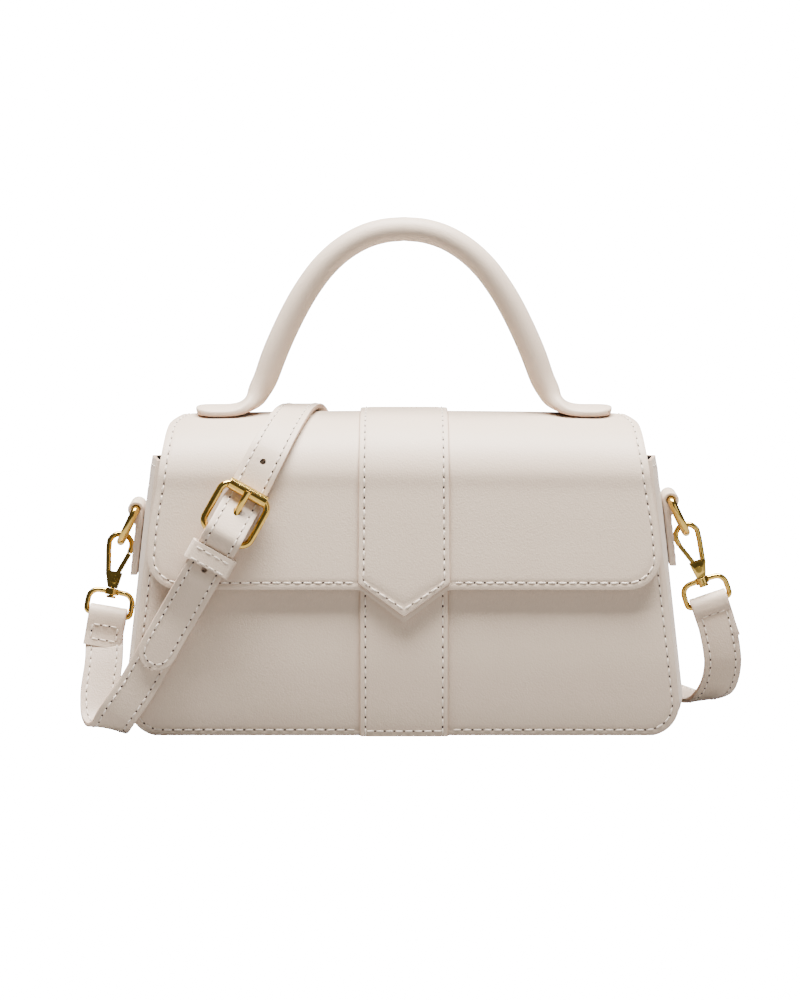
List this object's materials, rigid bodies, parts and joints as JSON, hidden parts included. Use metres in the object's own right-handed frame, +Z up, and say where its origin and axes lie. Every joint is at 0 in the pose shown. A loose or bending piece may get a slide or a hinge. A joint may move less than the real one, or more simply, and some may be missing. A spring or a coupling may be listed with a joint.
{
  "type": "crossbody bag",
  "caption": "Small structured leather crossbody bag with a pointed flap, a rolled top handle and a buckled shoulder strap on snap hooks.",
  "frame": {"origin": "centre of the flat underside", "axes": "+X to the right as seen from the front, +Y to the back, +Z up"},
  "size_m": [0.2693, 0.2543, 0.205],
  "materials": {
    "leather": "smooth pale cream leather with a soft sheen",
    "hardware": "polished gold-coloured plating"
  },
  "bodies": {
    "bag": {"front_panel": "leather", "back_panel": "leather", "gusset": "leather", "flap": "leather", "flap_band": "leather", "front_band": "leather", "handle": "leather", "tab_left": "leather", "tab_right": "leather", "strap_short": "leather", "strap_long": "leather", "keeper": "leather", "d_ring_left": "hardware", "d_ring_right": "hardware", "hook_left": "hardware", "hook_right": "hardware", "hook_loop_left": "hardware", "hook_loop_right": "hardware", "buckle_frame": "hardware", "buckle_roller": "hardware", "buckle_prong": "hardware"},
    "gate_left": {"gate_left": "hardware"},
    "gate_right": {"gate_right": "hardware"}
  },
  "joints": [
    {"name": "gate_left_hinge", "type": "hinge", "parent": "bag", "child": "gate_left", "pos_m": [-0.11836, -0.00388, 0.05766], "axis": [0.0418, -0.9703, 0.2383], "range_deg": [0, 22], "stiffness_Nm_per_rad": 0.01, "springref_deg": -34.38},
    {"name": "gate_right_hinge", "type": "hinge", "parent": "bag", "child": "gate_right", "pos_m": [0.12042, -0.00112, 0.06165], "axis": [0.0227, 0.9976, -0.066], "range_deg": [0, 22], "stiffness_Nm_per_rad": 0.01, "springref_deg": -34.38}
  ]
}
